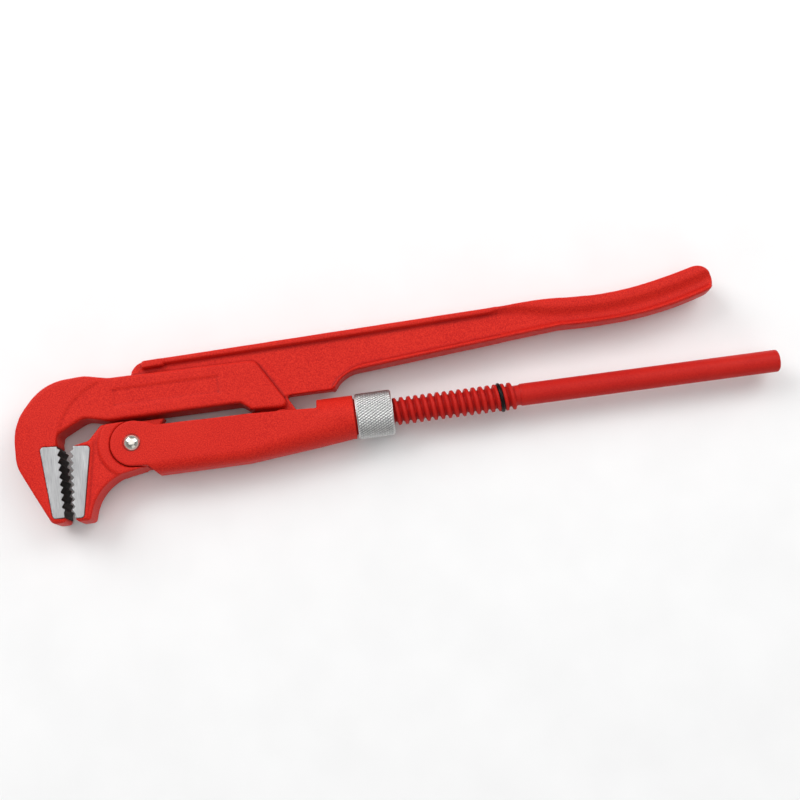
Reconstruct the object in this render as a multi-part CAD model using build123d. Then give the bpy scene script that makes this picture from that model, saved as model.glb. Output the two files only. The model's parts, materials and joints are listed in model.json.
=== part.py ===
from build123d import *
import math
import os

# Ninety-degree two-leg pipe wrench, one-inch size, lying on its side. Millimetres.
#
# The parts are drawn in a working frame: the origin is on the axis of the lower-jaw rivet,
# X runs along the threaded leg towards its free end, Y points to the upper leg, and Z goes
# across the thickness with the mid-plane at Z = 0. The last step moves everything together
# so that the model stands on Z = 0 with the origin under the middle of its outer box.

# ---- half thicknesses across the tool
CHEEK_HALF = 7.3        # hook head, ground flat beside the teeth
ARM_HALF = 6.9          # arm plate and foot of the upper leg
FLANGE_HALF = 5.5       # top and bottom flanges of the I-section handle
WEB_HALF = 3.2          # web of the I-section handle
POCKET_DRAFT = 14.0     # degrees that the pocket walls beside the web lean outwards
BEAD_SLOPE = 1.1        # how much further the grip's bead slopes back, per mm above the web
TONGUE_HALF = 2.6       # hinge tongue of the upper leg
LIP_HALF = 6.3          # short thick end of the top flange
TOOTH_HALF = 7.5        # tooth blocks, proud of both jaws
JAW_HALF = 6.4          # web of the lower jaw
BOSS_HALF = 7.2         # raised ring of the lower jaw
SLEEVE_HALF = 8.2       # flat sides of the sleeve
CHANNEL_HALF = 5.9      # channel inside the sleeve, wide enough for the thread
NECK_HALF = 5.6         # lower-jaw neck between the sleeve's ears
TAIL_HALF = 3.4         # thinner tail of the lower jaw, behind the ears
CHEEKS_HALF = 5.6       # forked front end of the spindle

# ---- hinge and slide axes
SPINDLE_Y = -0.4        # axis of the spindle, sleeve collar and nut
HINGE_X = 61.5          # axis that joins the upper leg to the spindle
HINGE_PIN_D = 5.0
HINGE_PIN_CHAMFER = 0.4
HINGE_EYE_R = 8.0
FORK_R = 6.3            # round ends of the spindle's fork
FORK_TO_X = 72.5
FORK_HEIGHT = 9.0
FORK_SLOT_GAP = 1.2     # room round the tongue's eye in the fork
FORK_SIDE_GAP = 0.1     # between the tongue and each side of the fork
RIVET_D = 6.0
RIVET_HEAD_D = 6.85
RIVET_RIM = 0.12        # flat rim round the dome, and how thick it is
RIVET_HEAD_RISE = 2.2
RUNNING_GAP = 0.06      # radial clearance of a turning fit

# ---- upper leg
ARM_UNDER_Y = 10.7      # flat underside that the lower jaw leans towards
ROUND_EDGE = 1.3        # rounding of the arm's forged edges
WINDOW = (-6.5, 37.8, 15.7, 23.4)   # blank label window: x from, x to, y from, y to
WINDOW_DEPTH = 0.45
FRAME_GROOVE = 0.8      # width of the deeper groove round the label window

# ---- teeth
TOOTH_PITCH = 3.05
TOOTH_DEPTH = 1.35
TOOTH_COUNT = 9
TOOTH_STEEP = 1.05      # height of the steep flank of one tooth
TOOTH_TOP_Y = 1.9
BLOCK_ROUND = 1.4       # rounding of a tooth block's two back corners

# ---- lower jaw
EAR_R = 9.3             # round ears of the sleeve
EAR_AT = (0.5, -0.3)    # middle of the ears, a little off the rivet
EAR_GAP = 0.4           # between an ear and the jaw's ring
NECK_R = 6.8
BOSS_R = 13.7
JAW_TOP_Y = 9.2

# ---- sleeve, collar and nut
COLLAR_D = 18.2
COLLAR_FROM_X = 76.0
COLLAR_TO_X = 91.0
SLEEVE_BOTTOM_Y = -13.6
SLEEVE_ROUND = 5.5      # rounding of the sleeve's two lower corners
SLEEVE_SIDES_TO_X = 46.0    # where the sides begin to swell towards the collar
SWELL = (8.9, -10.9, 8.4)   # section at the collar: half width, bottom and rounding
CHANNEL_FLOOR_Y = -9.1
CHANNEL_ROUND = 3.0
DEEP_CHANNEL_TO_X = 71.0
SHALLOW_FLOOR_Y = -5.3  # floor between the deep channel and the collar
FLOOR_FROM_X = 6.0      # between the ears the channel has no floor
BORE_D = 11.9
SPIGOT_D = 14.4
SPIGOT_TO_X = 97.5
RING_FROM_X = 94.4      # ring between the spigot and the nut
RING_TO_X = 95.6
RING_SEAT_D = 13.2      # bottom of its groove in the spigot
RING_D = 15.4
RING_GAP = 0.12         # its play in the nut
NUT_D = 18.9
NUT_FROM_X = 91.8
NUT_TO_X = 106.8
NUT_BORE_FROM_X = 98.0
NUT_CHAMFER = 0.7

# ---- spindle
THREAD_D = 11.5
THREAD_ROOT_D = 8.4
THREAD_PITCH = 3.0
THREAD_CREST = 1.15     # width of the flat on a thread ridge
THREAD_BASE = 2.4       # width of a thread ridge at its root
THREAD_FROM_X = 86.0
THREAD_TO_X = 157.8
THREAD_PLAY = 0.14      # flank and crest clearance of the nut
ROD_FROM_X = 160.3
SHANK_D = 9.4
ROD_D = 9.3
ROD_END_ROUND = 0.8
SPINDLE_END_X = 269.2
STOP_RING_X = 151.9
STOP_RING_WIRE_D = 1.6
STOP_RING_TILT = 6.0
STOP_RING_SINK = 0.35   # how deep the middle of the wire lies below the thread's crests


def plate(outline, half):
    """A flat plate about the mid-plane.

    The closed outline is a list of edges, of (x, y) corners, or of (x, y, radius) corners.
    """
    if isinstance(outline[0], tuple) and len(outline[0]) == 3:
        corners = [(x, y) for x, y, radius in outline]
        radii = [radius for x, y, radius in outline]
        outline = FilletPolyline(corners, radius=radii, close=True)
    elif isinstance(outline[0], tuple):
        outline = Polyline(outline, close=True)
    return extrude(make_face(outline), amount=half, both=True)


def rounded(part, half, radius):
    """The same plate with the edges of its two faces rounded."""
    rim = [e for e in part.edges() if abs(abs(e.center().Z) - half) < 1e-4]
    return fillet(rim, radius)


def across(diameter, half, x, y):
    """A round bar across the tool, such as a pin or its hole."""
    return Pos(x, y, 0) * Cylinder(diameter / 2, 2 * half)


def along(diameter, x_from, x_to, y=SPINDLE_Y):
    """A round bar along X on the spindle axis."""
    bar = Rot(0, 90, 0) * Cylinder(diameter / 2, x_to - x_from)
    return Pos((x_from + x_to) / 2, y, 0) * bar


def tooth_row(root_top, root_bottom, depth, count, steep):
    """Points of a saw-toothed edge from the top root to the last tip."""
    (x0, y0), (x1, y1) = root_top, root_bottom
    length = math.hypot(x1 - x0, y1 - y0)
    down = ((x1 - x0) / length, (y1 - y0) / length)
    out = (-down[1], down[0])
    pitch = length / count
    points = []
    for tooth in range(count):
        root = tooth * pitch
        tip = root + steep
        points.append((x0 + down[0] * root, y0 + down[1] * root))
        points.append((x0 + down[0] * tip + out[0] * depth, y0 + down[1] * tip + out[1] * depth))
    return points


def beyond(start, end, length):
    """The point that lies past the end of a line by a length."""
    dx, dy = end[0] - start[0], end[1] - start[1]
    scale = 1 + length / math.hypot(dx, dy)
    return (start[0] + dx * scale, start[1] + dy * scale)


def tooth_block(back_top, back_bottom, front_bottom, front_top, teeth):
    """Tooth block with two rounded back corners, open in front for its teeth."""
    seat = block_seat(back_top, back_bottom, front_bottom, front_top, TOOTH_HALF)
    front = plate([front_bottom] + teeth + [front_top, (40, 40), (40, -60)], TOOTH_HALF)
    if front_top[0] < back_top[0]:
        return seat & front
    return seat - front


def block_seat(back_top, back_bottom, front_bottom, front_top, half):
    """Room of a tooth block: its sides and back, running out past the tooth line."""
    bottom = beyond(back_bottom, front_bottom, 8)
    top = beyond(back_top, front_top, 8)
    return plate([(*back_top, BLOCK_ROUND), (*back_bottom, BLOCK_ROUND), (*bottom, 0),
                  (*top, 0)], half)


# ------------------------------------------------------------------ upper leg
HOOK_BLOCK = ((-37.3, 3.1), (-34.3, -26.7), (-29.6, -26.7), (-30.1, 2.5))
HOOK_ROOT_X = -30.35    # line of the tooth roots


def hook_block():
    """Toothed block on the hook: steep flanks face the throat."""
    last_y = TOOTH_TOP_Y - TOOTH_PITCH * TOOTH_COUNT
    teeth = tooth_row((HOOK_ROOT_X, TOOTH_TOP_Y), (HOOK_ROOT_X, last_y), TOOTH_DEPTH,
                      TOOTH_COUNT, TOOTH_STEEP)
    teeth.append((HOOK_BLOCK[2][0], last_y + 0.9))
    return tooth_block(*HOOK_BLOCK, teeth[::-1])


def arm_plate():
    """Thick plate of the upper leg: hook, arm and foot in one outline."""
    hook = [(-9.0, ARM_UNDER_Y, 8.0), (-19.0, 13.0, 6.0), (-30.3, 7.4, 3.0),
            (-29.3, -28.6, 1.6), (-35.0, -28.6, 3.0), (-47.8, -3.0, 16.0), (-47.7, 14.0, 22.0),
            (-34.0, 29.8, 22.0), (-17.0, 30.6, 14.0), (-7.5, 28.4, 8.0)]
    foot = [(53.0, 27.9, 4.0), (65.8, 6.4, 2.2), (49.6, 7.3, 1.5), (45.4, ARM_UNDER_Y, 2.0)]
    return rounded(plate(hook + foot, ARM_HALF), ARM_HALF, ROUND_EDGE)


def hook_cheeks():
    """Raised cheeks of the hook, ending in a curved crease where the arm begins."""
    outline = [
        ThreePointArc((-11.0, 27.4), (-22.5, 20.6), (-29.5, 9.4)),
        Line((-29.5, 9.4), (-30.8, 3.0)),
        Line((-30.8, 3.0), (-30.8, -26.0)),
        ThreePointArc((-30.8, -26.0), (-33.2, -27.3), (-36.1, -24.4)),
        Line((-36.1, -24.4), (-45.2, -6.4)),
        ThreePointArc((-45.2, -6.4), (-46.9, 2.6), (-45.8, 11.4)),
        ThreePointArc((-45.8, 11.4), (-38.0, 23.3), (-25.6, 29.1)),
        ThreePointArc((-25.6, 29.1), (-18.6, 29.4), (-12.0, 28.2)),
        Line((-12.0, 28.2), (-11.0, 27.4)),
    ]
    return plate(outline, CHEEK_HALF)


def hook_bevel():
    """Material removed above the wide bevel that thins the hook's outer edge."""
    slope = 11.5
    crease_lean = 6.5
    cut = Box(30, 90, 20, align=(Align.MIN, Align.CENTER, Align.MIN))
    wedge = Pos(-38.6, 3.0, CHEEK_HALF) * Rot(0, 0, 180 + crease_lean) * Rot(0, slope, 0) * cut
    return wedge + mirror(wedge, about=Plane.XY)


def handle():
    """I-section handle with its swept grip, before the web pockets are cut."""
    outline = [
        Line((84.5, 11.85), (60.0, 11.85)),
        Line((60.0, 11.85), (1.3, 20.0)),
        Line((1.3, 20.0), (1.3, 27.4)),
        ThreePointArc((1.3, 27.4), (3.25, 32.1), (7.6, 33.9)),
        Line((7.6, 33.9), (150.0, 37.15)),
        Spline([(150.0, 37.15), (163.5, 37.75), (175.5, 38.1), (186.5, 37.45), (199.0, 37.1),
                (212.5, 38.1), (226.0, 40.45), (240.5, 43.9)]),
        ThreePointArc((240.5, 43.9), (246.0, 41.7), (247.6, 36.4)),
        ThreePointArc((247.6, 36.4), (246.9, 34.0), (244.4, 32.3)),
        Spline([(244.4, 32.3), (232.0, 28.9), (218.5, 26.5), (205.5, 25.4), (193.0, 25.1),
                (181.0, 25.45)]),
        Line((181.0, 25.45), (94.5, 18.4)),
        ThreePointArc((94.5, 18.4), (88.6, 16.2), (84.5, 11.85)),
    ]
    return rounded(plate(outline, FLANGE_HALF), FLANGE_HALF, 1.2)


def pocket_outline(spread, bead):
    """Outline of the hollow beside the web, wider by the spread, and by the bead at the grip."""
    grip = [(165.0, 33.2), (176.0, 31.0), (187.5, 29.9), (199.0, 29.7), (210.5, 30.5),
            (222.0, 32.2), (234.0, 34.7), (250.0, 40.0)]
    crease = [(x, y + spread + bead) for x, y in grip]
    lip_x, lip_y = 7.0 - spread, 31.2 + spread
    return [
        Line((-2.0, 24.0), (-2.0, 37.0)),
        Line((-2.0, 37.0), (lip_x, 37.0)),
        Line((lip_x, 37.0), (lip_x, lip_y)),
        Line((lip_x, lip_y), (86.0, 32.6 + spread)),
        Line((86.0, 32.6 + spread), (152.0, 34.4 + spread)),
        Spline([(152.0, 34.4 + spread)] + crease),
        Line(crease[-1], (250.0, 35.8)),
        Spline([(250.0, 35.8), (239.0, 32.5), (227.0, 29.5), (215.0, 27.5), (203.5, 26.5),
                (192.0, 26.4), (181.0, 27.2 - spread)]),
        Line((181.0, 27.2 - spread), (99.0, 20.8 - spread)),
        ThreePointArc((99.0, 20.8 - spread), (91.2, 18.9 - spread), (86.4 - spread, 15.6)),
        Line((86.4 - spread, 15.6), (80.0, 8.0)),
        Line((80.0, 8.0), (40.0, 8.0)),
        Line((40.0, 8.0), (-2.0, 24.0)),
    ]


def web_pocket():
    """Hollow beside the web on both faces, from in front of the lip to past the grip's tip."""
    depth = FLANGE_HALF - WEB_HALF + 1
    spread = depth * math.tan(math.radians(POCKET_DRAFT))
    bottom = Pos(0, 0, WEB_HALF) * make_face(pocket_outline(0, 0))
    top = Pos(0, 0, WEB_HALF + depth) * make_face(pocket_outline(spread, depth * BEAD_SLOPE))
    upper = loft([bottom, top], ruled=True)
    return upper + mirror(upper, about=Plane.XY)


def tongue():
    """Plate that hangs from the web into the sleeve and ends in the hinge eye."""
    neck = plate([(52.0, 16.0), (53.5, SPINDLE_Y), (68.6, SPINDLE_Y + 3.9), (64.6, 11.0),
                  (64.6, 16.0)], TONGUE_HALF)
    return neck + across(2 * HINGE_EYE_R, TONGUE_HALF, HINGE_X, SPINDLE_Y)


def label_window():
    """Shallow recess of the blank label window with a deeper groove round its border."""
    x0, x1, y0, y1 = WINDOW
    wide, high = x1 - x0, y1 - y0
    groove = Box(wide, high, 4 * WINDOW_DEPTH)
    groove -= Box(wide - 2 * FRAME_GROOVE, high - 2 * FRAME_GROOVE, 4 * WINDOW_DEPTH)
    return Pos((x0 + x1) / 2, (y0 + y1) / 2, ARM_HALF) * (Box(wide, high, 2 * WINDOW_DEPTH) + groove)


def upper_leg():
    """The whole upper forging with the seat for the tooth block and the pin hole."""
    window = label_window()
    lip = rounded(plate([(6.4, 30.6), (15.5, 30.9), (15.5, 33.9), (7.4, 33.7)], LIP_HALF),
                  LIP_HALF, 0.5)
    forging = handle() - web_pocket() + arm_plate() + hook_cheeks() + tongue() + lip
    forging -= hook_bevel()
    forging -= window + mirror(window, about=Plane.XY)
    forging -= block_seat(*HOOK_BLOCK, 10)
    forging -= across(HINGE_PIN_D, 10, HINGE_X, SPINDLE_Y)
    return forging


# ------------------------------------------------------------------ lower jaw
JAW_BLOCK = ((-16.9, 1.15), (-21.9, -27.7), (-25.6, -27.4), (-24.0, 1.95))


def jaw_block():
    """Toothed block on the lower jaw."""
    teeth = tooth_row((-25.2, -26.0), (-23.8, 0.5), TOOTH_DEPTH, TOOTH_COUNT,
                      TOOTH_PITCH - TOOTH_STEEP)
    return tooth_block(*JAW_BLOCK, teeth + [(-23.8, 0.5)])


def jaw_outline():
    """Outer edge of the lower jaw, up to its neck between the ears."""
    return [(-24.0, 2.2, 0.6), (-17.6, 3.5, 1.5), (-12.2, JAW_TOP_Y, 1.2), (0.5, JAW_TOP_Y, 0.0),
            (5.2, -10.2, 0.0), (-15.4, -13.8, 19.0), (-19.6, -28.9, 1.6), (-24.4, -28.9, 0.8),
            (-25.9, -27.4, 0.8)]


def lower_jaw():
    """Movable jaw: web, raised ring round the ears, and the neck between them."""
    under_ear = EAR_AT[1] - EAR_R - EAR_GAP
    ear_room = Pos(*EAR_AT, 0) * Cylinder(EAR_R + EAR_GAP, 40)
    ear_room += plate([(EAR_AT[0], 20), (EAR_AT[0], under_ear), (5.4, -10.5), (9.2, -14.5),
                       (30, -14.5), (30, 20)], 20)
    web = rounded(plate(jaw_outline(), JAW_HALF), JAW_HALF, 0.7)
    boss = plate(jaw_outline(), BOSS_HALF) & Cylinder(BOSS_R, 2 * BOSS_HALF)
    margin = plate([(-25.9, -28.0), (-24.0, 2.0), (-15.6, 3.6), (-20.8, -28.3)], BOSS_HALF)
    margin = margin & plate(jaw_outline(), BOSS_HALF)
    sides = web + boss + margin - ear_room
    tail = plate([(-12.0, JAW_TOP_Y), (13.4, JAW_TOP_Y), (11.0, 5.6), (5.0, -3.0), (-8.0, -3.0)],
                 TAIL_HALF)
    neck = across(2 * NECK_R, NECK_HALF, 0, 0) + tail
    jaw = sides + neck + plate(jaw_outline(), NECK_HALF)
    jaw -= across(RIVET_D + 2 * RUNNING_GAP, 20, 0, 0)
    return jaw - block_seat(*JAW_BLOCK, 10)


# ------------------------------------------------------------------ sleeve
def sleeve_section(x, half, bottom, corner):
    """Upright U-shaped section of the sleeve at a place along it."""
    top = 12.0
    face = Pos((bottom + top) / 2, 0) * Rectangle(top - bottom, 2 * half)
    face = fillet(face.vertices().group_by(Axis.X)[0], corner)
    return Plane(origin=(x, 0, 0), x_dir=(0, 1, 0), z_dir=(1, 0, 0)) * face


def sleeve_channel():
    """Room inside the sleeve for the hinge, the jaw's neck and the threaded leg."""
    low = (Align.MIN, Align.MIN, Align.CENTER)
    deep = Box(DEEP_CHANNEL_TO_X + 20, 30, 2 * CHANNEL_HALF, align=low)
    floor_edges = deep.edges().filter_by(Axis.X).group_by(Axis.Y)[0]
    room = Pos(-20, CHANNEL_FLOOR_Y, 0) * fillet(floor_edges, CHANNEL_ROUND)
    room += Pos(30, SHALLOW_FLOOR_Y, 0) * Box(COLLAR_FROM_X - 30, 30, 2 * CHANNEL_HALF, align=low)
    room += Pos(-20, -30, 0) * Box(FLOOR_FROM_X + 20, 60, 2 * CHANNEL_HALF, align=low)
    return room + along(BORE_D, COLLAR_FROM_X - 5, SPIGOT_TO_X + 5)


def sleeve():
    """Sliding sleeve: two ears, an open channel, a round collar and the nut spigot."""
    plain = (SLEEVE_HALF, SLEEVE_BOTTOM_Y, SLEEVE_ROUND)
    front = extrude(sleeve_section(-12.0, *plain), amount=SLEEVE_SIDES_TO_X + 12.0)
    middle = loft([sleeve_section(SLEEVE_SIDES_TO_X, *plain),
                   sleeve_section(COLLAR_FROM_X + 1, *SWELL)])
    ear_x, ear_y = EAR_AT
    side = plate([(ear_x, ear_y + EAR_R), (6.0, 8.0), (10.5, 6.1), (49.0, 5.5), (77.0, 4.0),
                  (77.0, -14.0), (9.4, -14.0), (5.6, -10.1), (ear_x, ear_y - EAR_R)], 12)
    side += Pos(ear_x, ear_y, 0) * Cylinder(EAR_R, 24)
    body = (front + middle) & side
    collar_r = COLLAR_D / 2
    body += along(COLLAR_D, COLLAR_FROM_X, COLLAR_TO_X)
    under = loft([sleeve_section(COLLAR_FROM_X + 1, *SWELL),
                  sleeve_section(COLLAR_TO_X - 2, collar_r - 0.2, SPINDLE_Y - collar_r, 8.8)])
    body += under & Pos(85, -9, 0) * Box(30, 17, 30)
    body += along(SPIGOT_D, COLLAR_TO_X - 1, SPIGOT_TO_X)
    body -= sleeve_channel()
    body -= across(RIVET_D, 20, 0, 0)
    body -= ring_groove(RING_SEAT_D, SPIGOT_D + 2)
    return body


def ring_groove(inner_d, outer_d, gap=0.0):
    """Annular room for the ring that holds the nut on the spigot."""
    x_from, x_to = RING_FROM_X - gap, RING_TO_X + gap
    return along(outer_d, x_from, x_to) - along(inner_d, x_from, x_to)


def nut_ring():
    """Split ring between the spigot and the nut."""
    ring = ring_groove(RING_SEAT_D, RING_D)
    slit = Box(4, 6, 1.6)
    return ring - Pos(RING_FROM_X, SPINDLE_Y + RING_D / 2, 0) * slit


def rivet():
    """Lower-jaw rivet: shank through both ears with a rimmed dome on each side."""
    shank = across(RIVET_D, SLEEVE_HALF, 0, 0)
    head_r = RIVET_HEAD_D / 2
    rim = Pos(0, 0, SLEEVE_HALF + RIVET_RIM / 2) * Cylinder(head_r + RIVET_RIM, RIVET_RIM)
    rise = RIVET_HEAD_RISE - RIVET_RIM
    ball_r = (head_r ** 2 + rise ** 2) / (2 * rise)
    dome_z = SLEEVE_HALF + RIVET_RIM
    ball = Pos(0, 0, dome_z + rise - ball_r) * Sphere(ball_r)
    dome = ball & Pos(0, 0, dome_z) * Box(20, 20, 20, align=(Align.CENTER, Align.CENTER, Align.MIN))
    head = rim + dome
    return shank + head + mirror(head, about=Plane.XY)


def hinge_pin():
    """Pin of the hidden hinge between the upper leg and the spindle."""
    return chamfer(across(HINGE_PIN_D, CHEEKS_HALF, HINGE_X, SPINDLE_Y).edges(), HINGE_PIN_CHAMFER)


# ------------------------------------------------------------------ spindle and nut
def screw_ridge(x_from, x_to, play=0.0):
    """Right-handed helical ridge round the spindle axis."""
    root_r = THREAD_ROOT_D / 2 + play
    crest_r = THREAD_D / 2 + play
    base = THREAD_BASE / 2 + play
    crest = THREAD_CREST / 2 + play
    path = Helix(pitch=THREAD_PITCH, height=x_to - x_from, radius=root_r)
    start = Plane(origin=(root_r, 0, 0), x_dir=(1, 0, 0), z_dir=(0, -1, 0))
    profile = start * make_face(Polyline([(-0.3, -base), (crest_r - root_r, -crest),
                                          (crest_r - root_r, crest), (-0.3, base)], close=True))
    ridge = sweep(profile, path=path, is_frenet=True)
    return Pos(x_from, SPINDLE_Y, 0) * Rot(0, 90, 0) * ridge


def spindle():
    """Lower leg: forked eye, shank, rolled thread and plain round grip."""
    slot_r = HINGE_EYE_R + FORK_SLOT_GAP
    eye = across(2 * FORK_R, CHEEKS_HALF, HINGE_X, SPINDLE_Y)
    fork = Box(FORK_TO_X - HINGE_X, FORK_HEIGHT, 2 * CHEEKS_HALF)
    eye += Pos((HINGE_X + FORK_TO_X) / 2, SPINDLE_Y, 0) * fork
    leg = eye + along(SHANK_D, FORK_TO_X - 1, THREAD_FROM_X) + along(THREAD_ROOT_D, 80.0, ROD_FROM_X + 2)
    leg -= across(2 * slot_r, TONGUE_HALF + FORK_SIDE_GAP, HINGE_X, SPINDLE_Y)
    leg += screw_ridge(THREAD_FROM_X, THREAD_TO_X)
    rod = along(ROD_D, ROD_FROM_X, SPINDLE_END_X)
    leg += fillet(rod.edges().sort_by(Axis.X)[-1], ROD_END_ROUND)
    leg -= across(HINGE_PIN_D + 2 * RUNNING_GAP, 20, HINGE_X, SPINDLE_Y)
    return leg


def tilted_ring(wire_d):
    """Ring of round wire that lies in the thread at the thread's own slant."""
    ring = Torus(THREAD_D / 2 - STOP_RING_SINK, wire_d / 2)
    return Pos(STOP_RING_X, SPINDLE_Y, 0) * Rot(0, 0, STOP_RING_TILT) * Rot(0, 90, 0) * ring


def ring_nut():
    """Knurled nut: counterbore over the spigot and a threaded bore behind it."""
    nut = chamfer(along(NUT_D, NUT_FROM_X, NUT_TO_X).edges().filter_by(GeomType.CIRCLE),
                  NUT_CHAMFER)
    nut -= along(SPIGOT_D + 2 * RUNNING_GAP, NUT_FROM_X - 1, NUT_BORE_FROM_X)
    nut -= ring_groove(RING_SEAT_D, RING_D + 2 * RING_GAP, gap=RING_GAP)
    tap_from = THREAD_FROM_X + 3 * THREAD_PITCH
    tap_to = NUT_TO_X + THREAD_PITCH
    tap = along(THREAD_ROOT_D + 2 * THREAD_PLAY, tap_from - 1, tap_to + 1)
    return nut - (tap + screw_ridge(tap_from, tap_to, THREAD_PLAY))


def build():
    """Every piece of the wrench by name."""
    ring = tilted_ring(STOP_RING_WIRE_D)
    return {
        "upper_leg": upper_leg(),
        "hook_tooth_block": hook_block(),
        "lower_jaw": lower_jaw(),
        "jaw_tooth_block": jaw_block(),
        "sleeve": sleeve(),
        "jaw_rivet": rivet(),
        "nut_ring": nut_ring(),
        "hinge_pin": hinge_pin(),
        "spindle": spindle() - tilted_ring(STOP_RING_WIRE_D + 0.1),
        "ring_nut": ring_nut(),
        "stop_ring": ring,
    }


def main():
    os.makedirs("parts", exist_ok=True)
    pieces = build()
    box = Compound(children=[Part(p.wrapped) for p in pieces.values()]).bounding_box()
    shift = Vector(-box.center().X, -box.center().Y, -box.min.Z)
    for name, piece in pieces.items():
        export_step(Pos(shift) * piece, f"parts/{name}.step")


main()
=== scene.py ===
import json
import math

import bmesh
import bpy
import numpy as np
from mathutils import Matrix, Vector, noise

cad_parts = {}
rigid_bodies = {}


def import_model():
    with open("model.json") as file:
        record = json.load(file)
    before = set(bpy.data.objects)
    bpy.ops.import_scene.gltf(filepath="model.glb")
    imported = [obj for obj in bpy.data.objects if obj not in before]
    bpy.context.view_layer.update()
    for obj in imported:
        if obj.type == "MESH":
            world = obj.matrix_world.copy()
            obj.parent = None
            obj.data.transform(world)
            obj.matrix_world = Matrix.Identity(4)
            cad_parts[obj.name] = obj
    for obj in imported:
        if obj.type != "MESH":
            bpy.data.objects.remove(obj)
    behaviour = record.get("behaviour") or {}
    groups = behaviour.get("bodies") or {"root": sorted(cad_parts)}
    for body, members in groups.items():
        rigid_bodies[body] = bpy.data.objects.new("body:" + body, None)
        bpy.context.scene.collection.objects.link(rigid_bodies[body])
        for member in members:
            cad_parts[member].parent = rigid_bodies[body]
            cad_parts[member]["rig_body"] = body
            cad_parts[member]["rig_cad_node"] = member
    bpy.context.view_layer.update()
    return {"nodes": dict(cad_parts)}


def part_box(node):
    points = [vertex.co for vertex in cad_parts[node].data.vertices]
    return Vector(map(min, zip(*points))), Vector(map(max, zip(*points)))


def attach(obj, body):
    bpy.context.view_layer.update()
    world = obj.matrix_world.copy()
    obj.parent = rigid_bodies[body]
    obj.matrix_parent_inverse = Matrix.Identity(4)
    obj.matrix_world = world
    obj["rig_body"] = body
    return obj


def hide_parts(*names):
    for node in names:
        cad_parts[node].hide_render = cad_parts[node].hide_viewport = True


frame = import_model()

# Looks of the two-leg pipe wrench. Everything is in metres in the CAD frame: X along the
# threaded leg to its free end, Y to the upper leg, Z up through the thickness.

MM = 0.001

# ---- driving dimensions of the looks
LEG_VOXEL = 0.52                # mm, skin of the upper leg, the largest forging
FORGING_VOXEL = 0.42            # mm, skin of the sleeve and the lower jaw
THREAD_VOXEL = 0.34             # mm, skin of the threaded leg
BLOCK_VOXEL = 0.22              # mm, skin of the ground tooth blocks
LEG_PASSES = 4                  # smoothing passes, fewer on the coarser skin of the leg
FORGING_PASSES = 5
FINE_PASSES = 2                 # on the thread and the tooth blocks
WELD = 1e-7                     # m, CAD mesh points closer than this are one
FORGING_WAVE = 0.035            # mm, unevenness that the forging dies leave
FORGING_WAVE_LENGTH = 9.0       # mm
GRIP_LENGTH = 92.0              # mm of the upper leg's end that are rounder
GRIP_PASSES = 14                # smoothing passes there
KNURL_PITCH = 1.2               # mm between the ridges of the knurl, round the nut
KNURL_DEPTH = 0.40              # mm
KNURL_SAMPLES = 7               # mesh points across one ridge
KNURL_SLANT = 0.6               # ridges passed round the nut for each pitch along it
KNURL_CROSSING = 0.55           # depth of the second set of grooves, as a share of the first
KNURL_FLANKS = 1.6              # how steep the grooves are
NUT_CHAMFER = 0.6               # mm
NUT_BORE_R = 5.75               # mm
RIVET_R = 3.0                   # mm, shank of the jaw's rivet
RIVET_RISE = 2.2                # mm, head above the ear
RIVET_RIM = 0.12                # mm, width and thickness of the rim round the dome
RIM_CHAMFER = 0.03              # mm
RIM_LINE_FROM = 0.93            # painted dark reflection round the rivet, as shares of the rim's radius
RIM_LINE_TO = 0.97
RIVET_SIDES = 96                # mesh points round the rivet
DOME_STEPS = 16                 # and from the top of its dome to the rim

CAMERA_FROM_RIVET = Vector((94.04, -92.28, 516.74)) * MM
TARGET_FROM_RIVET = Vector((110.49, 4.19, 0.0)) * MM
CAMERA_TURN = math.radians(7.8)   # the wrench rises to the right in the picture
CAMERA_LENS = 57.06


# ------------------------------------------------------------------ mesh work
def new_piece(name, mesh):
    """An object for a finished mesh, in the row frame."""
    piece = bpy.data.objects.new(name, mesh)
    bpy.context.scene.collection.objects.link(piece)
    return piece


def stands_for(piece, node):
    """The piece takes the CAD node's place and rides with its body."""
    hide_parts(node)
    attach(piece, frame["nodes"][node]["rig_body"])
    return piece


def join_rings(work, rings):
    """Faces between each ring of mesh points and the next."""
    for ring, after in zip(rings, rings[1:]):
        for step, corner in enumerate(ring):
            other = (step + 1) % len(ring)
            work.faces.new((corner, ring[other], after[other], after[step]))


def turned_piece(name, node, work):
    """A finished turned part, moved from the origin to the middle of its CAD node's box."""
    bmesh.ops.recalc_face_normals(work, faces=work.faces)
    mesh = bpy.data.meshes.new(name)
    work.to_mesh(mesh)
    work.free()
    low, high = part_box(node)
    mesh.transform(Matrix.Translation((low + high) / 2))
    mesh.shade_smooth()
    return stands_for(new_piece(name, mesh), node)


def cad_skin(node):
    """A welded copy of a CAD node's mesh, in millimetres."""
    mesh = frame["nodes"][node].data.copy()
    mesh.materials.clear()
    work = bmesh.new()
    work.from_mesh(mesh)
    bmesh.ops.remove_doubles(work, verts=work.verts, dist=WELD)
    bmesh.ops.scale(work, vec=(1 / MM, 1 / MM, 1 / MM), verts=work.verts)
    work.to_mesh(mesh)
    work.free()
    return mesh


def baked(piece):
    """The piece's mesh with its modifiers applied, back in metres."""
    depsgraph = bpy.context.evaluated_depsgraph_get()
    mesh = bpy.data.meshes.new_from_object(piece.evaluated_get(depsgraph))
    piece.modifiers.clear()
    piece.data = mesh
    mesh.transform(Matrix.Scale(MM, 4))
    mesh.shade_smooth()
    return piece


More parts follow.
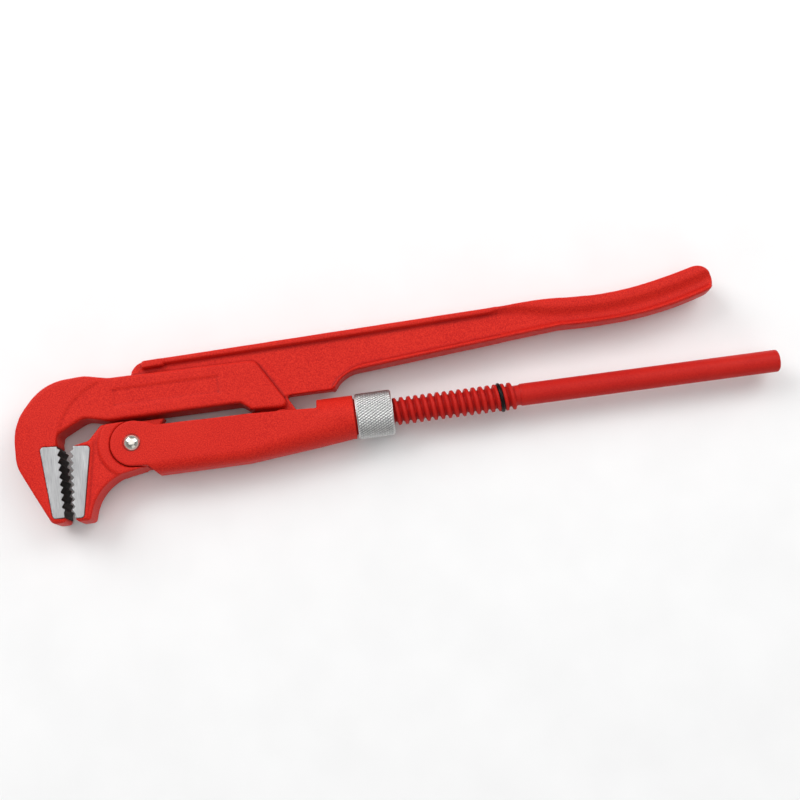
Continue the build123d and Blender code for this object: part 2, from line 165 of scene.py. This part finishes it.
def softened(node, voxel, passes):
    """A copy of a CAD node as one skin, with its edges and creases rounded a little."""
    piece = new_piece(f"{node}_skin", cad_skin(node))
    skin = piece.modifiers.new("skin", "REMESH")
    skin.mode = "VOXEL"
    skin.voxel_size = voxel
    skin.use_smooth_shade = True
    smooth = piece.modifiers.new("worn_edges", "SMOOTH")
    smooth.factor = 0.5
    smooth.iterations = passes
    return stands_for(baked(piece), node)


def rounder_grip(piece, node):
    """Smooths the far end of the upper leg, whose bead for the hand has no sharp edges."""
    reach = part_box(node)[1].x - GRIP_LENGTH * MM
    work = bmesh.new()
    work.from_mesh(piece.data)
    grip = [vert for vert in work.verts if vert.co.x > reach]
    for _ in range(GRIP_PASSES):
        bmesh.ops.smooth_vert(work, verts=grip, factor=0.5, use_axis_x=True, use_axis_y=True,
                              use_axis_z=True)
    work.to_mesh(piece.data)
    work.free()
    piece.data.shade_smooth()


def uneven(piece, height, length):
    """Pushes the skin in and out by a slow wave, as forging dies and paint leave it."""
    count = len(piece.data.vertices)
    places = np.empty(3 * count)
    normals = np.empty(3 * count)
    piece.data.vertices.foreach_get("co", places)
    piece.data.vertex_normals.foreach_get("vector", normals)
    places = places.reshape(-1, 3)
    wave = np.array([noise.noise(Vector(place) / (length * MM)) for place in places])
    places += normals.reshape(-1, 3) * (wave * height * MM)[:, None]
    piece.data.vertices.foreach_set("co", places.ravel())
    piece.data.update()


def knurled_nut(node):
    """The ring nut: a diamond knurl between two chamfers, bored through."""
    low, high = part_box(node)
    radius = (high.y - low.y) / 2
    length = high.x - low.x
    around = round(math.tau * radius / (KNURL_PITCH * MM))
    steps = around * KNURL_SAMPLES
    rows = round(length / (KNURL_PITCH * MM) * KNURL_SAMPLES)
    chamfer = NUT_CHAMFER * MM
    bore = NUT_BORE_R * MM
    profile = [(0.0, bore), (0.0, radius - chamfer)]
    for row in range(rows + 1):
        profile.append((length * row / rows, None))
    profile += [(length, radius - chamfer), (length, bore)]
    work = bmesh.new()
    rings = []
    for x, fixed in profile:
        ring = []
        for step in range(steps):
            turn = math.tau * step / steps
            rim = fixed
            if rim is None:
                edge = min(x, length - x)
                rim = radius - max(0.0, chamfer - edge)
                rim -= knurl_depth(turn, x, around) * min(1.0, edge / chamfer)
            ring.append(work.verts.new((x, rim * math.cos(turn), rim * math.sin(turn))))
        rings.append(ring)
    join_rings(work, rings + rings[:1])
    bmesh.ops.translate(work, vec=(-length / 2, 0, 0), verts=work.verts)
    return turned_piece(f"{node}_knurled", node, work)


def knurl_depth(turn, x, around):
    """How deep the two crossing sets of grooves lie at a place on the nut, in metres."""
    lead = x / (KNURL_PITCH * MM)
    along = turn / math.tau * around
    groove = 0.0
    for slant, share in ((KNURL_SLANT, 1.0), (-KNURL_SLANT, KNURL_CROSSING)):
        phase = (along + slant * lead) % 1.0
        groove = max(groove, share * (1 - abs(2 * phase - 1) * KNURL_FLANKS))
    return max(0.0, groove) * KNURL_DEPTH * MM


def domed_rivet(node):
    """The lower jaw's rivet, turned in one piece with a smooth dome and a thin rim at each end."""
    low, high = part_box(node)
    half = (high.z - low.z) / 2
    rim_r = (high.x - low.x) / 2
    dome_r = rim_r - RIVET_RIM * MM
    seat = half - RIVET_RISE * MM
    rim_top = seat + RIVET_RIM * MM
    rise = half - rim_top
    ball = (dome_r ** 2 + rise ** 2) / (2 * rise)
    reach = math.asin(dome_r / ball)
    edge = RIM_CHAMFER * MM
    profile = [(ball * math.sin(reach * step / DOME_STEPS),
                half - ball + ball * math.cos(reach * step / DOME_STEPS))
               for step in range(1, DOME_STEPS + 1)]
    profile += [(rim_r - edge, rim_top), (rim_r, rim_top - edge), (rim_r, seat),
                (RIVET_R * MM, seat)]
    profile += [(radius, -height) for radius, height in reversed(profile)]
    work = bmesh.new()
    rings = []
    for radius, height in profile:
        turns = [math.tau * step / RIVET_SIDES for step in range(RIVET_SIDES)]
        rings.append([work.verts.new((radius * math.cos(turn), radius * math.sin(turn), height))
                      for turn in turns])
    join_rings(work, rings)
    for ring, height in ((rings[0], half), (rings[-1], -half)):
        tip = work.verts.new((0, 0, height))
        for step in range(RIVET_SIDES):
            work.faces.new((ring[step], ring[(step + 1) % RIVET_SIDES], tip))
    return turned_piece(f"{node}_turned", node, work)


# ------------------------------------------------------------------ materials
class Shader:
    """A small helper that builds one material's nodes."""

    def __init__(self, name, **constants):
        self.material = bpy.data.materials.new(name)
        self.material.use_nodes = True
        self.tree = self.material.node_tree
        self.surface = self.tree.nodes["Principled BSDF"]
        for socket, value in constants.items():
            self.surface.inputs[socket.replace("_", " ")].default_value = value
        self.place = self.tree.nodes.new("ShaderNodeTexCoord").outputs["Object"]

    def link(self, source, target):
        self.tree.links.new(source, target)

    def stretched(self, scale):
        """The place in the object, scaled along each axis."""
        mapping = self.tree.nodes.new("ShaderNodeMapping")
        mapping.inputs["Scale"].default_value = scale
        self.link(self.place, mapping.inputs["Vector"])
        return mapping.outputs["Vector"]

    def noise(self, scale, detail=3.0, roughness=0.55, place=None):
        """Noise with that many waves per metre."""
        node = self.tree.nodes.new("ShaderNodeTexNoise")
        node.inputs["Scale"].default_value = scale
        node.inputs["Detail"].default_value = detail
        node.inputs["Roughness"].default_value = roughness
        self.link(place or self.place, node.inputs["Vector"])
        return node.outputs["Fac"]

    def ramp(self, source, stops):
        """A colour ramp over a value: stops are (position, colour)."""
        node = self.tree.nodes.new("ShaderNodeValToRGB")
        while len(node.color_ramp.elements) < len(stops):
            node.color_ramp.elements.new(0.5)
        for element, (position, colour) in zip(node.color_ramp.elements, stops):
            element.position = position
            element.color = (*colour, 1.0)
        self.link(source, node.inputs["Fac"])
        return node.outputs["Color"]

    def range(self, source, low, high):
        """A 0 to 1 value spread over another range."""
        node = self.tree.nodes.new("ShaderNodeMapRange")
        node.inputs["To Min"].default_value = low
        node.inputs["To Max"].default_value = high
        self.link(source, node.inputs["Value"])
        return node.outputs["Result"]

    def mix(self, factor, first, second):
        """Two colours mixed by a factor."""
        node = self.tree.nodes.new("ShaderNodeMix")
        node.data_type = "RGBA"
        self.link(factor, node.inputs["Factor"])
        self.link(first, node.inputs["A"])
        self.link(second, node.inputs["B"])
        return node.outputs["Result"]

    def pointiness(self, low, high):
        """0 in a crease to 1 on an outer edge."""
        node = self.tree.nodes.new("ShaderNodeNewGeometry")
        spread = self.tree.nodes.new("ShaderNodeMapRange")
        spread.inputs["From Min"].default_value = low
        spread.inputs["From Max"].default_value = high
        self.link(node.outputs["Pointiness"], spread.inputs["Value"])
        return spread.outputs["Result"]

    def beyond(self, middle, reach):
        """0 near an upright axis to 1 on the rim at that reach from it."""
        mapping = self.tree.nodes.new("ShaderNodeMapping")
        mapping.inputs["Scale"].default_value = (1 / reach, 1 / reach, 0)
        mapping.inputs["Location"].default_value = (-middle.x / reach, -middle.y / reach, 0)
        self.link(self.place, mapping.inputs["Vector"])
        away = self.tree.nodes.new("ShaderNodeVectorMath")
        away.operation = "LENGTH"
        self.link(mapping.outputs["Vector"], away.inputs[0])
        spread = self.tree.nodes.new("ShaderNodeMapRange")
        spread.inputs["From Min"].default_value = RIM_LINE_FROM
        spread.inputs["From Max"].default_value = RIM_LINE_TO
        self.link(away.outputs["Value"], spread.inputs["Value"])
        return spread.outputs["Result"]

    def facing_up(self, low, high):
        """0 on walls that stand across the tool to 1 on its two flat faces."""
        split = self.tree.nodes.new("ShaderNodeSeparateXYZ")
        normal = self.tree.nodes.new("ShaderNodeTexCoord").outputs["Normal"]
        self.link(normal, split.inputs["Vector"])
        size = self.tree.nodes.new("ShaderNodeMath")
        size.operation = "ABSOLUTE"
        self.link(split.outputs["Z"], size.inputs[0])
        spread = self.tree.nodes.new("ShaderNodeMapRange")
        spread.inputs["From Min"].default_value = low
        spread.inputs["From Max"].default_value = high
        self.link(size.outputs["Value"], spread.inputs["Value"])
        return spread.outputs["Result"]

    def bump(self, layers):
        """Bumps laid over each other: layers are (height source, strength, distance in mm)."""
        normal = None
        for source, strength, distance in layers:
            node = self.tree.nodes.new("ShaderNodeBump")
            node.inputs["Strength"].default_value = strength
            node.inputs["Distance"].default_value = distance * MM
            self.link(source, node.inputs["Height"])
            if normal:
                self.link(normal, node.inputs["Normal"])
            normal = node.outputs["Normal"]
        self.link(normal, self.surface.inputs["Normal"])


def red_paint(name, dark, light, grain_height, specular):
    """Satin enamel, grainy on a shot-blasted forging and smoother on the machined leg, with
    painted shade in its creases.
    """
    paint = Shader(name, Specular_IOR_Level=specular)
    grain = paint.noise(2100.0, detail=2.0)
    cloud = paint.noise(60.0, detail=3.0)
    fine = paint.ramp(grain, [(0.32, dark), (0.68, light)])
    broad = paint.ramp(cloud, [(0.30, (0.54, 0.013, 0.009)), (0.70, (0.64, 0.024, 0.013))])
    half = paint.range(cloud, 0.15, 0.40)
    body = paint.mix(half, fine, broad)
    # painted shade: a dark red mixed in where the skin is hollow, in its creases and recesses
    crease = paint.ramp(grain, [(0.3, (0.20, 0.003, 0.005)), (0.7, (0.28, 0.006, 0.007))])
    edge = paint.pointiness(0.45, 0.495)
    paint.link(paint.mix(edge, crease, body), paint.surface.inputs["Base Color"])
    paint.link(paint.range(grain, 0.36, 0.54), paint.surface.inputs["Roughness"])
    paint.bump([(cloud, 0.12, 0.4), (grain, 0.5, grain_height)])
    return paint.material


def ground_steel(name, flank_painted_light):
    """Hardened tooth blocks: ground on the faces, with painted light on the flanks: a given tone,
    in patches, that stands in for the shade or brightness they catch.
    """
    steel = Shader(name, Metallic=1.0, Anisotropic=0.4)
    scratches = steel.noise(500.0, 4.0, 0.7, steel.stretched((6.0, 0.25, 1.0)))
    patches = steel.noise(220.0, 3.0)
    ground = steel.ramp(scratches, [(0.25, (0.29, 0.29, 0.30)), (0.75, (0.54, 0.54, 0.54))])
    dimmer_flank_light = [shade * 0.6 for shade in flank_painted_light]
    # painted light on the flanks, not scale: the given tone with dimmer patches of it
    scale = steel.ramp(patches, [(0.3, dimmer_flank_light), (0.7, flank_painted_light)])
    steel.link(steel.mix(steel.facing_up(0.25, 0.75), scale, ground),
               steel.surface.inputs["Base Color"])
    steel.link(steel.range(patches, 0.50, 0.64), steel.surface.inputs["Roughness"])
    steel.bump([(scratches, 0.40, 0.06), (patches, 0.10, 0.05)])
    return steel.material


def bright_steel(node):
    """Polished upright pin or rivet of a node, with faint haze and a painted dark reflection round
    its edge.
    """
    low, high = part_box(node)
    middle = (low + high) / 2
    rim_r = (high.x - low.x) / 2
    steel = Shader(f"bright_steel_{node}", Metallic=1.0)
    haze = steel.noise(300.0, 2.0)
    polished = steel.ramp(haze, [(0.3, (0.74, 0.69, 0.61)), (0.7, (0.84, 0.80, 0.73))])
    # painted reflection: dark red near the rim, where the dome's edge mirrors the red and dim
    # surroundings
    rim_reflection = steel.ramp(haze, [(0.3, (0.10, 0.015, 0.012)), (0.7, (0.16, 0.03, 0.02))])
    steel.link(steel.mix(steel.beyond(middle, rim_r), polished, rim_reflection),
               steel.surface.inputs["Base Color"])
    steel.link(steel.range(haze, 0.17, 0.22), steel.surface.inputs["Roughness"])
    steel.bump([(haze, 0.02, 0.02)])
    return steel.material


def plated_steel():
    """Zinc plate on the knurled nut: light grey, with painted shade in the grooves."""
    steel = Shader("plated_steel", Metallic=1.0)
    mottle = steel.noise(700.0, 3.0)
    bright = steel.ramp(mottle, [(0.3, (0.56, 0.56, 0.56)), (0.7, (0.72, 0.72, 0.71))])
    # painted shade: near black where the knurl's grooves are hollow
    groove = steel.ramp(mottle, [(0.3, (0.07, 0.07, 0.07)), (0.7, (0.14, 0.14, 0.13))])
    edge = steel.pointiness(0.42, 0.53)
    steel.link(steel.mix(edge, groove, bright), steel.surface.inputs["Base Color"])
    steel.link(steel.range(mottle, 0.26, 0.42), steel.surface.inputs["Roughness"])
    steel.bump([(mottle, 0.12, 0.04)])
    return steel.material


def black_steel():
    """Oiled black spring steel of the rings."""
    steel = Shader("black_steel", Specular_IOR_Level=0.1, Coat_Weight=0.05, Coat_Roughness=0.08)
    mottle = steel.noise(800.0, 3.0)
    colour = steel.ramp(mottle, [(0.3, (0.003, 0.003, 0.003)), (0.7, (0.010, 0.009, 0.009))])
    steel.link(colour, steel.surface.inputs["Base Color"])
    steel.link(steel.range(mottle, 0.18, 0.34), steel.surface.inputs["Roughness"])
    steel.bump([(mottle, 0.10, 0.03)])
    return steel.material


def dress(piece, slot, finish=None):
    """Gives a piece a finish of one of the record's material slots."""
    piece.data.materials.clear()
    piece.data.materials.append(FINISHES[finish or slot])


# ------------------------------------------------------------------ stage
def floor():
    """Pale table top that the wrench lies on."""
    mesh = bpy.data.meshes.new("floor")
    reach = 3.0
    corners = [(-reach, -reach, 0), (reach, -reach, 0), (reach, reach, 0), (-reach, reach, 0)]
    mesh.from_pydata(corners, [], [(0, 1, 2, 3)])
    top = new_piece("floor", mesh)
    paint = Shader("floor_paint", Roughness=0.75)
    soft = paint.noise(30.0, 2.0)
    colour = paint.ramp(soft, [(0.3, (0.86, 0.86, 0.86)), (0.7, (0.89, 0.89, 0.89))])
    paint.link(colour, paint.surface.inputs["Base Color"])
    top.data.materials.append(paint.material)


def softbox(name, place, size, power):
    """A square lamp that faces the wrench."""
    lamp = bpy.data.lights.new(name, "AREA")
    lamp.size = size
    lamp.energy = power
    holder = bpy.data.objects.new(name, lamp)
    holder.location = place
    holder.rotation_euler = (-Vector(place)).to_track_quat("-Z", "Y").to_euler()
    bpy.context.scene.collection.objects.link(holder)


def surround():
    """Pale surround: light near the horizon and dim overhead, so that flat tops stay rich."""
    world = bpy.data.worlds.new("surround")
    world.use_nodes = True
    tree = world.node_tree
    direction = tree.nodes.new("ShaderNodeTexCoord").outputs["Generated"]
    split = tree.nodes.new("ShaderNodeSeparateXYZ")
    ramp = tree.nodes.new("ShaderNodeValToRGB")
    shades = ((0.0, 0.50), (0.35, 0.32), (0.85, 0.12))
    ramp.color_ramp.elements.new(0.5)
    for element, (height, shade) in zip(ramp.color_ramp.elements, shades):
        element.position = height
        element.color = (shade, shade, shade, 1.0)
    tree.links.new(direction, split.inputs["Vector"])
    tree.links.new(split.outputs["Z"], ramp.inputs["Fac"])
    tree.links.new(ramp.outputs["Color"], tree.nodes["Background"].inputs["Color"])
    bpy.context.scene.world = world


def lights():
    """Large soft lamps: overhead, behind on the left, right, and a weak one in front."""
    softbox("overhead_light", (0.0, 0.25, 1.6), 2.4, 19.5)
    softbox("main_light", (-0.9, 0.9, 1.0), 1.0, 13.0)
    softbox("right_light", (1.0, 0.6, 1.0), 0.9, 7.5)
    softbox("front_light", (0.3, -1.2, 0.8), 0.9, 1.5)
    bpy.context.scene.view_settings.view_transform = "Standard"


def camera():
    """Camera almost straight above, from the side of the threaded leg."""
    lens = bpy.data.cameras.new("camera")
    lens.lens = CAMERA_LENS
    lens.clip_start = 0.01
    low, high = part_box("jaw_rivet")
    rivet = (low + high) / 2
    place = rivet + CAMERA_FROM_RIVET
    back = (CAMERA_FROM_RIVET - TARGET_FROM_RIVET).normalized()
    picture_up = Vector((math.sin(CAMERA_TURN), math.cos(CAMERA_TURN), 0))
    right = picture_up.cross(back).normalized()
    up = back.cross(right)
    turn = Matrix((right, up, back)).transposed().to_4x4()
    holder = bpy.data.objects.new("camera", lens)
    holder.matrix_world = Matrix.Translation(place) @ turn
    bpy.context.scene.collection.objects.link(holder)
    bpy.context.scene.camera = holder


# ------------------------------------------------------------------ the wrench
FINISHES = {
    "red_paint": red_paint("red_paint", (0.43, 0.005, 0.005), (0.73, 0.032, 0.017), 0.14, 0.11),
    # smoother red for the machined leg, its colours also darker as painted shade on the round rod
    # and thread
    "smooth_shaded_red": red_paint("smooth_shaded_red", (0.40, 0.008, 0.007), (0.52, 0.018, 0.012), 0.03, 0.12),
    # hook block: flanks painted near black as the shade in its tooth gaps
    "ground_steel": ground_steel("ground_steel", (0.075, 0.062, 0.058)),
    # jaw block: flanks painted pale as the light they catch from the lamps and floor
    "flanks_painted_lit": ground_steel("flanks_painted_lit", (0.60, 0.56, 0.52)),
    "bright_steel": bright_steel("jaw_rivet"),
    "bright_pin": bright_steel("hinge_pin"),
    "plated_steel": plated_steel(),
    "black_steel": black_steel(),
}


def wrench():
    """Every visible piece with its finish."""
    forgings = [softened("upper_leg", LEG_VOXEL, LEG_PASSES),
                softened("lower_jaw", FORGING_VOXEL, FORGING_PASSES),
                softened("sleeve", FORGING_VOXEL, FORGING_PASSES)]
    rounder_grip(forgings[0], "upper_leg")
    for piece in forgings:
        uneven(piece, FORGING_WAVE, FORGING_WAVE_LENGTH)
        dress(piece, "red_paint")
    dress(softened("spindle", THREAD_VOXEL, FINE_PASSES), "red_paint", "smooth_shaded_red")
    dress(softened("hook_tooth_block", BLOCK_VOXEL, FINE_PASSES), "ground_steel")
    dress(softened("jaw_tooth_block", BLOCK_VOXEL, FINE_PASSES), "ground_steel",
          "flanks_painted_lit")
    dress(knurled_nut("ring_nut"), "plated_steel")
    dress(domed_rivet("jaw_rivet"), "bright_steel")
    dress(frame["nodes"]["hinge_pin"], "bright_steel", "bright_pin")
    for node in ("stop_ring", "nut_ring"):
        dress(frame["nodes"][node], "black_steel")


camera()
wrench()
floor()
surround()
lights()
